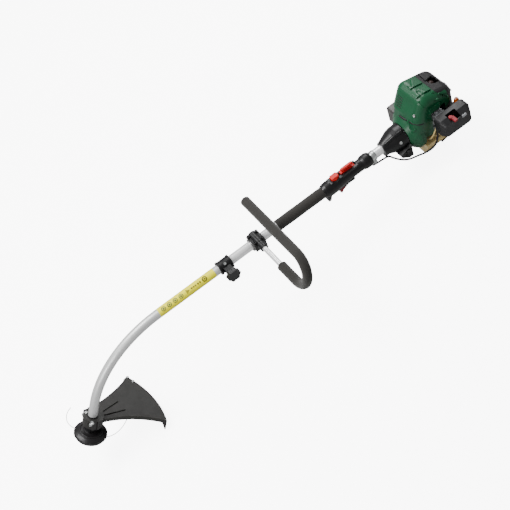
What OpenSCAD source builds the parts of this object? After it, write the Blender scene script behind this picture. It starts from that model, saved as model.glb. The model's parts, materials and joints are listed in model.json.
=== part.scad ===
// Petrol grass trimmer with a bent split shaft, a loop handle and a line head.
// Every module draws its piece in the shaft frame: X runs along the straight shaft towards the
// engine, Y to the operator's right and Z up, with X = 0 where the bend of the tube begins.
// lay() then turns the whole machine so that it lies on the floor on its tank and its guard.

/* [Shaft] */
// Outer diameter of the shaft tube
tube_d = 25; // [22:0.5:28]
// Wall of the shaft tube
tube_wall = 1.5; // [1:0.1:2.5]
// Straight length from the start of the bend to the clutch housing
shaft_l = 722; // [640:2:860]
// Radius of the tube's bend
bend_r = 300; // [250:5:360]
// Angle of the tube's bend
bend_deg = 60; // [52:1:66]
// Straight length of tube between the bend and the drive end
tail_l = 31; // [24:1:50]
// Diameter of the drive cable and the drive rod
drive_d = 6; // [5:0.5:7]
// Outer diameter of the plastic liner round the drive cable
liner_d = 9; // [8:0.5:12]

/* [Coupling] */
// Middle of the coupling, from the start of the bend
coupling_x = 211; // [190:1:240]
// Length of the coupling sleeve
coupling_l = 38; // [34:1:66]
// Wall of the coupling sleeve
coupling_wall = 4.5; // [3.5:0.5:6]
// Diameter over the lobes of the coupling knob
knob_d = 38; // [30:1:44]
// Thickness of the coupling knob
knob_h = 13; // [10:1:18]

/* [Loop handle] */
// Place of the handle clamp along the shaft
handle_x = 311; // [290:1:330]
// Outer diameter of the handle tube
handle_tube_d = 14; // [12:0.5:16]
// Outer diameter of the foam on the handle
handle_foam_d = 22; // [20:0.5:26]
// Distance between the two bars of the handle
handle_gap = 94; // [80:1:110]
// Lean of the handle towards the engine
handle_lean = 17; // [0:1:35]
// Reach of the bars to the left of the shaft, to the start of the return bend
handle_reach = 186; // [170:1:230]
// Reach of the upper bar to the right of the shaft
handle_over = 36; // [10:1:80]
// Distance from the shaft to the start of the foam on the lower bar
foam_start = 124; // [100:1:140]

/* [Grips] */
// Start of the foam grip on the shaft
grip_x = 378; // [360:1:420]
// Length of the foam grip on the shaft
grip_l = 150; // [110:1:160]
// Outer diameter of the foam grip on the shaft
grip_d = 29; // [28:0.5:36]
// Length of the throttle handle
throttle_l = 154; // [146:1:176]
// Outer diameter of the throttle handle
throttle_d = 35; // [32:0.5:40]

/* [Guard and head] */
// Reach of the guard's outer edge from the head's axis
guard_r = 184; // [176:1:216]
// Radius of the guard's outer edge
arc_r = 250; // [230:1:270]
// Half angle of the guard's outer edge
guard_half = 22; // [18:0.5:24]
// Thickness of the guard's plate
guard_t = 3; // [2:0.5:4]
// Depth of the guard's outer skirt
skirt_h = 30; // [20:1:40]
// Diameter of the line head's rim
head_d = 88; // [82:1:104]
// Height of the line head's housing
head_h = 27; // [26:1:34]
// Diameter of the bump knob
bump_d = 48; // [42:1:52]
// Diameter of the nylon line
line_d = 2; // [1.6:0.1:2.4]

/* [Engine] */
// Radius of the flywheel's fan
fan_r = 45; // [38:1:50]
// Radius of the round fan case
case_r = 58; // [54:1:64]
// Height of the cowl's top above the crankshaft
cowl_h = 122; // [118:1:150]
// Width of the cowl
cowl_w = 112; // [106:1:130]
// Wall of the plastic covers
cover_wall = 2.5; // [2:0.1:3.2]
// Cylinder's place along the shaft, from the clutch housing
cylinder_x = 146; // [142:1:156]
// Radius of the cylinder's fins
fin_r = 35; // [30:1:37]
// Length of the fuel tank
tank_l = 96; // [88:1:104]
// Width of the fuel tank
tank_w = 102; // [94:1:110]
// Height of the fuel tank
tank_h = 44; // [40:1:48]
// Length of the air filter cover
filter_l = 96; // [86:1:104]
// Height of the air filter cover
filter_h = 58; // [52:1:64]
// Depth of the air filter cover
filter_w = 41; // [36:1:48]

/* [Fits] */
// Radial clearance of a running or sliding fit
run_fit = 0.06; // [0.03:0.01:0.1]
// Gap between two pieces that only lie side by side
rest_gap = 0.3; // [0.2:0.1:0.6]

/* [Hidden] */
$fn = 64;
blend_fn = 32;
// Where the tail of a bent rod meets its bend: the lap, and how much thicker the tail is
tail_lap = 0.5;
tail_step = 0.02;
tube_r = tube_d / 2;
bore_r = tube_r - tube_wall;

// The drive end: its frame stands at the tube's end, with z along the head's axis, x to the front.
end_x = -bend_r * sin(bend_deg) - tail_l * cos(bend_deg);
end_z = -bend_r * (1 - cos(bend_deg)) - tail_l * sin(bend_deg);
neck_l = 30;
neck_r = tube_r + 1.8;
bearing_z = neck_l + 3;
bearing_t = 7;
bearing_r = 11;
arbor_r = 4;
hub_r = bearing_r + 6;
hub_l = 2 * bearing_t + 3;
head_z = bearing_z + hub_l + 2;
head_r = head_d / 2;
spool_r = head_r - 13;
spool_top = 13;
bump_r = bump_d / 2;
bump_travel = 4;
guard_z = 13;
collar_r = neck_r + 15;
collar_z0 = 2;
collar_z1 = 30;
clamp_bolt_y = neck_r + 5;
clamp_bolt_z = 13;

// The engine stations, counted along the shaft from the clutch housing's front
clutch_x = shaft_l;
clutch_l = 66;
drum_x = clutch_x + 38;
drum_l = 20;
drum_r = 24;
fan_x = clutch_x + 79;
fan_l = 26;
case_x0 = clutch_x + 68;
case_x1 = clutch_x + 104;
cyl_x = clutch_x + cylinder_x;
block_x0 = clutch_x + 118;
block_x1 = cyl_x + 27;
seam_x = cyl_x + 30;
rear_x0 = seam_x + rest_gap;
rear_x1 = cyl_x + 68;
pulley_x = rear_x0 + 7;
pulley_l = 11;
pulley_r = 24;
cyl_z0 = 34;
cyl_z1 = 92;
piston_r = 16;
throw = 13;
crank_r = 6;
carb_z = 46;
filter_y = -76;
filter_x = cyl_x + 27;
filter_z = 43;
tank_z = -40;
tank_x = cyl_x + 7;

// Lying on the floor: the foot under the tank and the middle of the guard's skirt touch it.
foot_z = tank_z - tank_h - 8;
foot_x = tank_x + tank_l / 2;
skirt_bottom = guard_z + guard_t + skirt_h;
touch_x = end_x + guard_r * sin(bend_deg) - skirt_bottom * cos(bend_deg);
touch_z = end_z - guard_r * cos(bend_deg) - skirt_bottom * sin(bend_deg);
lay_deg = atan2(foot_z - touch_z, foot_x - touch_x);
lay_up = touch_x * sin(lay_deg) - touch_z * cos(lay_deg);
// Shift that brings the middle of the machine's floor plan to the origin
origin_x = 273.9;
origin_y = -70.24;

// ---- shared forms ----

// Lays the shaft frame down on the floor.
module lay() {
    translate([-origin_x, -origin_y, lay_up]) rotate([0, lay_deg, 0]) children();
}

// Turns a child's z axis to run along the shaft, from station x.
module along(x) {
    translate([x, 0, 0]) rotate([0, 90, 0]) children();
}

// The drive end's frame: z down the head's axis, x to the front, y to the right.
module at_end() {
    translate([end_x, 0, end_z]) rotate([0, -90 - bend_deg, 0]) children();
}

// A pipe along z.
module pipe(outer, inner, length) {
    difference() {
        cylinder(r = outer, h = length);
        if (inner > 0) translate([0, 0, -1]) cylinder(r = inner, h = length + 2);
    }
}

// A rod that follows the tube's bend, from the straight stretch's station x past the end.
module bent_rod(r, x, beyond) {
    along(0) cylinder(r = r, h = x);
    translate([0, 0, -bend_r]) rotate([90, 0, 0]) rotate([0, 0, 90])
        rotate_extrude(angle = bend_deg) translate([bend_r, 0]) circle(r = r);
    at_end() translate([0, 0, -tail_l - tail_lap])
        cylinder(r = r + tail_step, h = tail_l + beyond + tail_lap);
}

// The same with a bore right through.
module bent(outer, inner, x, beyond) {
    difference() {
        bent_rod(outer, x, beyond);
        bent_rod(inner, x + 1, beyond + 1);
    }
}

module ring_2d(outer, inner) {
    difference() {
        circle(r = outer);
        if (inner > 0) circle(r = inner);
    }
}

// A block with rounded upright edges, centred in plan, from z = 0.
module rounded_block(size, r) {
    linear_extrude(size[2]) rounded_rect(size[0], size[1], r);
}

module rounded_rect(w, d, r) {
    square([w - 2 * r, d], center = true);
    square([w, d - 2 * r], center = true);
    for (sx = [-1, 1], sy = [-1, 1])
        translate([sx * (w / 2 - r), sy * (d / 2 - r)]) circle(r = r);
}

// A hexagon-socket screw: head above z = 0, shank below.
module screw(head_r, head_h, r, length) {
    difference() {
        cylinder(r = head_r, h = head_h);
        translate([0, 0, head_h * 0.4]) cylinder(r = head_r * 0.5, h = head_h, $fn = 6);
    }
    translate([0, 0, -length]) cylinder(r = r, h = length + 0.1);
}

// A tube swept along points, as one closed polyhedron; no stretch may run along up.
function unit(v) = v / norm(v);
function tangent(p, i) = unit(p[min(i + 1, len(p) - 1)] - p[max(i - 1, 0)]);
module sweep(points, r, sides, up = [0, 0, 1]) {
    n = len(points);
    rings = [for (i = [0:n - 1])
        let (t = tangent(points, i), s = unit(cross(t, up)), u = cross(t, s))
        for (k = [0:sides - 1]) points[i] + r * (cos(360 * k / sides) * s + sin(360 * k / sides) * u)];
    walls = [for (i = [0:n - 2], k = [0:sides - 1])
        let (a = i * sides + k, b = i * sides + (k + 1) % sides)
        [a, a + sides, b + sides, b]];
    caps = [[for (k = [0:sides - 1]) k], [for (k = [sides - 1:-1:0]) (n - 1) * sides + k]];
    polyhedron(rings, concat(walls, caps), convexity = 6);
}

// Points of a smooth curve through four controls, as a Bezier.
function bezier(a, b, c, d, n) = [for (i = [0:n])
    let (t = i / n, s = 1 - t)
    s * s * s * a + 3 * s * s * t * b + 3 * s * t * t * c + t * t * t * d];

// ---- lower unit: bent tube, cable, liner, label ----

lower_in = coupling_x - 3;
cable_end = 4;

module lower_tube() {
    color("silver") bent(tube_r, bore_r, lower_in, neck_l - 6);
}

// The flexible cable that carries the drive round the bend
module drive_cable() {
    color("dimgray") bent_rod(drive_d / 2, lower_in - cable_end, bearing_z - 3);
}

module drive_liner() {
    color("white") bent(liner_d / 2, drive_d / 2 + rest_gap, lower_in - 2 * cable_end, neck_l - 10);
}

// A thin printed foil round the upper left of the tube
label_x0 = 5;
label_x1 = 178;
module safety_label() {
    color("yellow") along(label_x0) rotate([0, 0, 135]) rotate_extrude(angle = 150)
        translate([tube_r + 0.02, 0]) square([0.28, label_x1 - label_x0]);
}

// ---- drive end, guard and head: drawn in the drive end's frame ----

module drive_end_housing() {
    color("dimgray") at_end() difference() {
        union() {
            cylinder(r = neck_r, h = neck_l + 1);
            translate([0, 0, neck_l]) cylinder(r = hub_r, h = hub_l + 3);
            for (a = [45:90:315]) rotate([0, 0, a])
                translate([hub_r - 1, -1.5, neck_l]) cube([3, 3, hub_l + 3]);
        }
        translate([0, 0, -1]) cylinder(r = tube_r + 0.05, h = neck_l - 4);
        translate([0, 0, neck_l - 6]) cylinder(r = drive_d / 2 + 2, h = 12);
        translate([0, 0, bearing_z]) cylinder(r = bearing_r + 0.02, h = hub_l + 10);
    }
}

module drive_end_bearings() {
    color("silver") at_end() for (z = [bearing_z, bearing_z + hub_l - bearing_t - 1])
        translate([0, 0, z]) pipe(bearing_r, arbor_r + run_fit, bearing_t);
}

// The arbor: a stub shaft with a square socket for the cable and a thread for the head
arbor_end = head_z + head_h - 14;
module output_arbor() {
    color("gray") at_end() difference() {
        union() {
            translate([0, 0, bearing_z - 2]) cylinder(r = arbor_r, h = arbor_end - bearing_z + 2);
            translate([0, 0, bearing_z + bearing_t + 0.3])
                cylinder(r = arbor_r + 2, h = hub_l - 2 * bearing_t - 1.6);
        }
        translate([0, 0, bearing_z - 3])
            cylinder(r = drive_d / 2 + 0.15, h = 1.5);
    }
}

// Outline of the guard in plan: two side edges that bow inwards, and an arc behind
guard_turn = 5;
arc_at = [arc_r - guard_r, -15];
side_y = [15, 35];
side_bow = [15, 7];
guard_arc = 12;
side_steps = 8;
function arc_point(a) = arc_at + arc_r * [cos(a), sin(a)];
function mirrored(p, s) = [p[0], s * p[1]];
function unit2(v) = v / norm(v);
function side_point(s, t, inset) =
    let (i = (s + 1) / 2, a = [-12, side_y[i]],
        b = mirrored(arc_point(180 - s * guard_half - guard_turn), s), n = unit2([b[1] - a[1], a[0] - b[0]]),
        p = a + (b - a) * t - n * (side_bow[i] * 4 * t * (1 - t) + inset))
    mirrored(p, s);
function side_points(s, inset) =
    [for (i = [0:side_steps]) side_point(s, i / side_steps, inset)];
function back_points() = [for (i = [0:guard_arc])
    arc_point(180 + guard_half - guard_turn - 2 * guard_half * i / guard_arc)];
function reversed(v) = [for (i = [len(v) - 1:-1:0]) v[i]];

module guard_fan() {
    polygon(concat(side_points(-1, 0), back_points(), reversed(side_points(1, 0))));
}

// The short flange under a side edge; its last stretch runs into the skirt.
module side_flange(s) {
    translate([0, 0, guard_z + guard_t - 0.5]) linear_extrude(flange_h + 0.5)
        polygon(concat(side_points(s, 0), reversed(side_points(s, 2.5))));
}

flange_h = 9;
skirt_out = 0.3;
rib_x = 92;
module guard() {
    color("dimgray") at_end() {
        difference() {
            union() {
                translate([0, 0, guard_z]) linear_extrude(guard_t) guard_fan();
                translate([0, 0, collar_z0]) cylinder(r = collar_r, h = collar_z1 - collar_z0);
                for (a = [-17, 5]) rotate([0, 0, a]) translate([-rib_x, -2, guard_z - 3])
                    cube([rib_x - collar_r + 4, 4, 4]);
            }
            translate([0, 0, -1]) cylinder(r = neck_r + 0.05, h = 60);
            translate([0.3, -60, -1]) cube([80, 120, 60]);
            for (y = [-clamp_bolt_y, clamp_bolt_y]) translate([-25, y, clamp_bolt_z])
                rotate([0, 90, 0]) {
                    cylinder(r = 2.7, h = 50);
                    cylinder(r = 5.4, h = 25 - nut_x);
                }
        }
        // The skirt under the outer edge, and a short flange under each side edge
        translate([arc_at[0], arc_at[1], guard_z + guard_t - 0.5]) rotate([0, 0, 180 - guard_half - guard_turn])
            rotate_extrude(angle = 2 * guard_half, $fn = 96)
                translate([arc_r + skirt_out - 3, 0]) square([3, skirt_h + 0.5]);
        for (s = [-1, 1]) side_flange(s);
    }
}

nut_x = 12;
module guard_clamp() {
    color("dimgray") at_end() difference() {
        translate([0, 0, collar_z0]) union() {
            cylinder(r = collar_r - 4, h = collar_z1 - collar_z0);
            translate([0, -clamp_bolt_y - 7, 0]) cube([14, 2 * clamp_bolt_y + 14, collar_z1 - collar_z0]);
        }
        translate([0, 0, -1]) cylinder(r = neck_r + 0.05, h = 60);
        translate([-79.4, -60, -1]) cube([80, 120, 60]);
        for (y = [-clamp_bolt_y, clamp_bolt_y]) translate([-60, y, clamp_bolt_z]) rotate([0, 90, 0]) {
            cylinder(r = 2.7, h = 120);
            translate([0, 0, 74]) cylinder(r = 6, h = 60);
        }
    }
}

module guard_bolts() {
    color("silver") at_end() for (y = [-clamp_bolt_y, clamp_bolt_y]) {
        translate([14.05, y, clamp_bolt_z]) rotate([0, 90, 0]) screw(5, 5, 2.5, 14 + nut_x + 4);
        translate([-nut_x - 4, y, clamp_bolt_z]) rotate([0, 90, 0]) difference() {
            cylinder(r = 4.6, h = 3.9, $fn = 6);
            translate([0, 0, -1]) cylinder(r = 2.52, h = 6);
        }
    }
}

// The steel blade at the right end of the skirt that trims the line
module line_cutter() {
    color("silver") at_end() translate(concat(arc_at, 0)) rotate([0, 0, 180 - guard_half - guard_turn - 0.2])
        translate([arc_r - 12, -2.2, guard_z + guard_t + 1]) {
            cube([17, 2, skirt_h - 6]);
            for (z = [6, 17]) translate([8, -1.2, z]) rotate([-90, 0, 0]) cylinder(r = 2.4, h = 1.3);
        }
}

// The line head: an upper housing open below, with two line outlets in its wall
outlet_z = 16;
outlet_deg = 45;
module head_housing() {
    color("dimgray") at_end() translate([0, 0, head_z]) difference() {
        rotate_extrude() polygon([[arbor_r + 0.05, 0], [15, 0], [19, 1.5], [head_r - 17, 3], [head_r - 9, 6],
            [head_r - 2, 10.5], [head_r, 13.5], [head_r, 18], [head_r - 2, 21], [head_r - 4, head_h - 2],
            [head_r - 6, head_h], [head_r - 8, head_h], [head_r - 8, 12], [head_r - 12, 8],
            [12.5, 8], [12.5, 9], [arbor_r + 0.05, 9]]);
        for (a = [outlet_deg, outlet_deg + 180]) rotate([0, 0, a]) translate([head_r - 12, 0, outlet_z])
            rotate([0, 90, 0]) cylinder(r = line_d / 2 + 1.2, h = 16);
        for (a = [0:30:330]) rotate([0, 0, a]) translate([head_r + 2.4, 0, 11])
            cylinder(r = 4, h = head_h);
    }
}

module line_spool() {
    color("black") at_end() translate([0, 0, head_z]) rotate_extrude()
        polygon([[13, spool_top], [spool_r, spool_top], [spool_r, spool_top + 1.6], [22, spool_top + 1.6],
            [22, head_h - 8.6], [spool_r, head_h - 8.6], [spool_r, head_h - 7], [13, head_h - 7]]);
}

// The knob that is bumped on the ground to feed line; it holds the spool
module bump_knob() {
    color("dimgray") at_end() translate([0, 0, head_z + head_h - 6.8]) difference() {
        union() {
            rotate_extrude() polygon([[0, 0], [head_r - 8.6, 0], [head_r - 8.6, 3], [bump_r, 5.5],
                [bump_r, 9], [bump_r - 4, 13.5], [bump_r - 12, 15.5], [0, 16]]);
            for (a = [0:45:315]) rotate([0, 0, a]) translate([bump_r - 0.5, -2, 5]) cube([2.6, 4, 6]);
        }
        translate([0, 0, -1]) cylinder(r = 9.5, h = 10);
    }
}

module head_spring() {
    color("silver") at_end() translate([0, 0, head_z + 9.3 + bump_travel])
        pipe(8.6, 7.2, head_h - 7.4 - bump_travel);
}

// The two ends of nylon line that stand out of the head
function outlet(a, r) = [r * cos(a), r * sin(a), head_z + outlet_z];
module line_ends() {
    color("whitesmoke") at_end() {
        front = bezier(outlet(outlet_deg, head_r - 7), outlet(outlet_deg, head_r + 26),
            [36, 84, head_z + 13], [8, 97, head_z + 10], 14);
        back = bezier(outlet(outlet_deg + 180, head_r - 7), outlet(outlet_deg + 180, head_r + 10),
            [-72, -34, head_z + 14], [-108, 0, head_z + 12], 14);
        sweep(front, line_d / 2, 8);
        sweep(back, line_d / 2, 8);
    }
}

// ---- upper shaft and coupling ----

upper_x0 = coupling_x + 1;
upper_in = 22;
module upper_tube() {
    color("silver") along(upper_x0) pipe(tube_r, bore_r, clutch_x + upper_in - upper_x0);
}

module drive_rod() {
    color("gray") along(lower_in + 2) cylinder(r = drive_d / 2, h = drum_x - lower_in - 2 - 1);
}

sleeve_r = tube_r + run_fit + coupling_wall;
lug_l = 12;
module coupling_clamp() {
    x0 = coupling_x - coupling_l / 2;
    color("dimgray") difference() {
        union() {
            along(x0) cylinder(r = sleeve_r, h = coupling_l);
            for (x = [x0, x0 + coupling_l - 5]) along(x) cylinder(r = sleeve_r + 1.5, h = 5);
            // The split lugs on the left that the knob's bolt pulls together
            translate([coupling_x - 10, -sleeve_r - lug_l, -9]) cube([20, lug_l + 7, 18]);
        }
        along(x0 - 1) cylinder(r = tube_r + run_fit, h = coupling_l + 2);
        translate([x0 - 1, -sleeve_r - 30, -1]) cube([coupling_l + 2, sleeve_r + 22, 2]);
        translate([coupling_x, -sleeve_r + 2, 0]) rotate([90, 0, 0]) cylinder(r = 3.2, h = 30);
    }
}

module coupling_knob() {
    color("dimgray") translate([coupling_x, -sleeve_r - lug_l - rest_gap, 0]) rotate([90, 0, 0]) {
        cylinder(r = 7.5, h = 8);
        translate([0, 0, 6]) linear_extrude(knob_h) difference() {
            circle(r = knob_d / 2 - 2);
            for (a = [0:60:300]) rotate(a + 30) translate([knob_d / 2 + 2, 0]) circle(r = 5);
        }
        translate([0, 0, 6]) linear_extrude(knob_h)
            for (a = [0:60:300]) rotate(a) translate([knob_d / 2 - 6, 0]) circle(r = 6);
        translate([0, 0, -11]) cylinder(r = 3, h = 12);
    }
}

// ---- loop handle ----

arm_r = handle_tube_d / 2;
foam_r = handle_foam_d / 2;
arm_z = tube_r + 3 + arm_r;
clamp_w = 40;
clamp_l = 34;
clamp_y = -11;
socket_l = 20;
bolt_x = arm_r + 5;
bolt_ys = [clamp_y - 14, clamp_y + 14];
bolt_l = arm_z + 6.1 - 13;

module handle_clamp_base() {
    color("dimgray") difference() {
        union() {
            along(handle_x - clamp_l / 2) cylinder(r = tube_r + 5, h = clamp_l);
            translate([handle_x - clamp_l / 2, clamp_y - clamp_w / 2, 2]) cube([clamp_l, clamp_w, arm_z - 2.3]);
            translate([handle_x, 0, arm_z]) rotate([90, 0, 0])
                cylinder(r = arm_r + 4, h = clamp_w / 2 - clamp_y + socket_l);
        }
        along(handle_x - clamp_l) cylinder(r = tube_r + 0.05, h = 2 * clamp_l);
        translate([handle_x, -100, arm_z]) rotate([-90, 0, 0]) cylinder(r = arm_r + run_fit, h = 112);
        translate([handle_x - clamp_l, clamp_y - clamp_w / 2 - 0.3, arm_z - 0.3])
            cube([2 * clamp_l, clamp_w + 10, 60]);
        clamp_holes();
    }
}

module clamp_holes() {
    for (sx = [-1, 1], y = bolt_ys) translate([handle_x + sx * bolt_x, y, 10.5]) cylinder(r = 2.6, h = 50);
}

module handle_clamp_cap() {
    color("dimgray") difference() {
        union() {
            translate([handle_x, clamp_y - clamp_w / 2, arm_z]) rotate([-90, 0, 0])
                cylinder(r = arm_r + 5, h = clamp_w);
            translate([handle_x - clamp_l / 2, clamp_y - clamp_w / 2, arm_z]) cube([clamp_l, clamp_w, 6]);
        }
        translate([handle_x - clamp_l, -60, arm_z - 60 + 0.3]) cube([2 * clamp_l, 120, 60]);
        translate([handle_x, -60, arm_z]) rotate([-90, 0, 0]) cylinder(r = arm_r + run_fit, h = 72);
        for (sx = [-1, 1], y = bolt_ys) translate([handle_x + sx * bolt_x, y, arm_z + 6])
            cylinder(r = 4.6, h = 20);
        clamp_holes();
    }
}

module handle_clamp_bolts() {
    color("silver") for (sx = [-1, 1], y = bolt_ys)
        translate([handle_x + sx * bolt_x, y, arm_z + 6.1]) screw(4.2, 4.5, 2.5, bolt_l);
}

// The handle's own plane: bars run along Y, and the return bend lies at the left.
module in_handle() {
    translate([handle_x, 0, arm_z]) rotate([0, handle_lean, 0]) children();
}

// A round bar or sleeve along the handle: lower bar from y0, return bend, upper bar to y1
module handle_run(outer, inner, y0, y1) {
    in_handle() {
        translate([0, y0, 0]) rotate([90, 0, 0]) pipe(outer, inner, handle_reach + y0);
        translate([0, -handle_reach, handle_gap / 2]) rotate([0, 0, 180]) rotate([0, 90, 0])
            rotate_extrude(angle = 180) translate([handle_gap / 2, 0]) ring_2d(outer, inner);
        translate([0, -handle_reach, handle_gap]) rotate([-90, 0, 0]) pipe(outer, inner, handle_reach + y1);
    }
}

module loop_handle_tube() {
    color("silver") handle_run(arm_r, arm_r - 1.5, 6, handle_over - 2);
}

module loop_handle_foam() {
    color("#2d2a26") {
        handle_run(foam_r, arm_r + 0.05, -foam_start, handle_over);
        in_handle() translate([0, handle_over - 0.01, handle_gap]) rotate([-90, 0, 0])
            cylinder(r1 = foam_r, r2 = foam_r - 1.5, h = 3);
    }
}

// ---- grips and throttle handle ----

module shaft_foam_grip() {
    color("#2d2a26") along(grip_x) pipe(grip_d / 2, tube_r + 0.05, grip_l);
}

throttle_x = grip_x + grip_l + rest_gap;
throttle_r = throttle_d / 2;
trigger_x = throttle_x + 80;
trigger_z = -throttle_r - 3;
lever_x = throttle_x + 104;
lever_z = throttle_r - 1;
button_r = 10.8;
button_travel = 2.5;
button_x = throttle_x + 42;

// The whole casing, before it is split along the middle: a stout front and a slim neck behind
module throttle_form() {
    slim_r = tube_r + 4;
    along(throttle_x) rotate_extrude() polygon([[tube_r + 0.1, 0], [tube_r + 4, 0], [throttle_r + 2, 8],
        [throttle_r + 3, 20], [throttle_r + 2, 48], [throttle_r - 1, 70], [slim_r, 100],
        [slim_r, throttle_l - 28], [slim_r + 3, throttle_l - 22], [slim_r + 3.6, throttle_l - 17],
        [slim_r + 3.6, throttle_l - 7], [slim_r + 1, throttle_l], [tube_r + 0.1, throttle_l]]);
    // The raised back that carries the button and the lever
    translate([throttle_x + 24, -11, 0]) cube([88, 22, throttle_r + 2.5]);
    translate([button_x, 0, 0]) cylinder(r = button_r + 2.6, h = throttle_r + 3.5);
    // The belly that holds the trigger, with its front hook
    translate([throttle_x + 8, -10, -throttle_r - 5]) cube([86, 20, throttle_r]);
    hull() {
        translate([throttle_x + 12, 0, -throttle_r + 2]) rotate([90, 0, 0])
            cylinder(r = 7, h = 20, center = true, $fn = blend_fn);
        translate([throttle_x + 9, 0, -throttle_r - 17]) rotate([90, 0, 0])
            cylinder(r = 5, h = 16, center = true, $fn = blend_fn);
    }
}

module throttle_half(s) {
    color("#26282a") difference() {
        throttle_form();
        along(throttle_x - 5) cylinder(r = tube_r + 0.1, h = throttle_l + 10);
        translate([throttle_x - 10, s > 0 ? -59.85 : -0.15, -60]) cube([throttle_l + 20, 60, 120]);
        // Openings for the trigger, the lever and the button
        translate([trigger_x - 38, -7, -throttle_r - 30]) cube([50, 14, 30 + throttle_r - tube_r - 1]);
        translate([lever_x - 48, -5.4, tube_r + 1]) cube([56, 10.8, 30]);
        translate([button_x, 0, tube_r + 1]) cylinder(r = button_r + 0.4, h = 30);
        for (x = screw_xs) translate([x, -60, -throttle_r - 1]) rotate([-90, 0, 0]) {
            cylinder(r = 1.7, h = 120);
            cylinder(r = 3.1, h = 50);
        }
    }
}

module throttle_housing_left() { throttle_half(-1); }
module throttle_housing_right() { throttle_half(1); }

screw_xs = [throttle_x + 24, throttle_x + 88];
module throttle_housing_screws() {
    color("silver") for (x = screw_xs)
        translate([x, -10.05, -throttle_r - 1]) rotate([90, 0, 0]) screw(2.8, 1.8, 1.6, 19);
}

// The trigger swings about a pin at its rear; its finger face hangs below the handle
module throttle_trigger() {
    color("#a01c30") translate([trigger_x, 0, trigger_z]) rotate([90, 0, 0]) {
        translate([0, 0, -6.4]) linear_extrude(12.8) {
            circle(r = 4.2);
            polygon([[2, 3.6], [-22, 2], [-32, -7], [-35, -18], [-31, -22], [-25, -15], [-12, -9], [3, -4]]);
        }
    }
}

// The long lock-off lever on the back of the handle
module lockout_lever() {
    color("#c9302c") translate([lever_x, 0, lever_z]) rotate([90, 0, 0]) translate([0, 0, -4.8])
        linear_extrude(9.6) {
            circle(r = 2.8);
            polygon([[1, -2.6], [3, 1], [-2, 4], [-18, 8], [-36, 9], [-43, 7], [-43, 4], [-30, 3.4], [-8, -2]]);
        }
}

module stop_button() {
    color("#dc3228") translate([button_x, 0, tube_r + 1.5 + button_travel]) rotate_extrude()
        polygon([[0, 0], [button_r, 0], [button_r, 6.4], [button_r - 1.4, 8.2], [6, 9.4], [0, 9.8]]);
}

// The cable that leaves the handle's rear and runs below the clutch housing to the carburettor
cable_route = [[throttle_x + throttle_l - 2, -10, -20], [throttle_x + throttle_l + 10, -12, -20.5],
    [clutch_x + 4, -16, -21], [clutch_x + 14, -25, -27], [clutch_x + 26, -38, -34],
    [clutch_x + 44, -50, -39], [clutch_x + 70, -57, -41], [clutch_x + 88, -64, -40],
    [clutch_x + 104, -70, -35], [clutch_x + 117, -74, -24], [clutch_x + 125, -75, -8],
    [clutch_x + 130, -74, 10], [clutch_x + 132.4, -71, 27], [clutch_x + 133, -68, 40]];
module throttle_cable() {
    color("#1e1e20") sweep(cable_route, 2.6, 10, [0, 1, 0]);
}

// ---- clutch and engine ----

module clutch_housing() {
    color("#1c1c1e") {
        along(clutch_x) difference() {
            rotate_extrude() polygon([[0, 0], [18.5, 0], [20, 5], [32, 34], [35, 48], [35, clutch_l], [0, clutch_l]]);
            translate([0, 0, -1]) cylinder(r = tube_r + 0.05, h = upper_in + 1.5);
            cylinder(r = drive_d / 2 + 4, h = clutch_l);
            translate([0, 0, drum_x - clutch_x - 3]) cylinder(r = drum_r + 1.5, h = clutch_l);
            translate([0, 0, 54]) cylinder(r = 30, h = clutch_l);
        }
        // The clamp lug under the neck, and the bracket at the lower left with its boss
        difference() {
            union() {
                translate([clutch_x + 2, -9, -26]) cube([18, 18, 12]);
                translate([clutch_x, -10, 0]) rotate([90, 0, 0]) linear_extrude(34)
                    polygon([[26, -18], [clutch_l - 1, -4], [clutch_l - 1, -44], [52, -44], [30, -28]]);
                translate([clutch_x + 52, -40, -20]) rotate([90, 0, 0]) cylinder(r = 7, h = 7);
            }
            along(clutch_x - 1) cylinder(r = 17.5, h = 40);
            along(clutch_x + 30) cylinder(r = 30, h = clutch_l);
        }
    }
}

module clutch_drum() {
    color("gray") along(drum_x) difference() {
        union() {
            cylinder(r = drum_r, h = drum_l);
            translate([0, 0, -2.5]) cylinder(r = 7, h = 4);
        }
        translate([0, 0, -10]) cylinder(r = drive_d / 2 + 0.02, h = 40);
        translate([0, 0, 2.2]) cylinder(r = drum_r - 2, h = drum_l);
    }
}

shoe_gap = 1.2;
module clutch_shoes() {
    color("dimgray") along(drum_x + 5) linear_extrude(drum_l - 7) difference() {
        circle(r = drum_r - 2 - shoe_gap);
        circle(r = crank_r + 3);
        square([60, 3], center = true);
    }
}

// Main shaft with the crank's webs and pin, a boss for the shoes and the starter's cup
module crankshaft() {
    color("gray") {
        along(drum_x + 4) cylinder(r = crank_r, h = pulley_x - 1 - drum_x - 4);
        along(drum_x + 4.5) cylinder(r = crank_r + 2.9, h = 14);
        for (x = [cyl_x - 14, cyl_x + 7]) along(x) cylinder(r = 20, h = 7);
    }
}

piston_l = 22;
piston_z = cyl_z1 - 19 - piston_l;
module piston_and_rod() {
    color("silver") {
        translate([cyl_x, 0, piston_z]) difference() {
            cylinder(r = piston_r, h = piston_l);
            translate([0, 0, -1]) cylinder(r = piston_r - 3, h = piston_l - 6);
            for (z = [piston_l - 6, piston_l - 3]) translate([0, 0, z]) pipe(piston_r + 1, piston_r - 0.8, 1.2);
        }
        translate([cyl_x - 3, -4, 22.5]) cube([6, 8, piston_z + piston_l - 26]);
        translate([cyl_x, 0, piston_z + 8]) rotate([90, 0, 0])
            cylinder(r = 4.5, h = 2 * piston_r - 5, center = true);
    }
}

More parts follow.
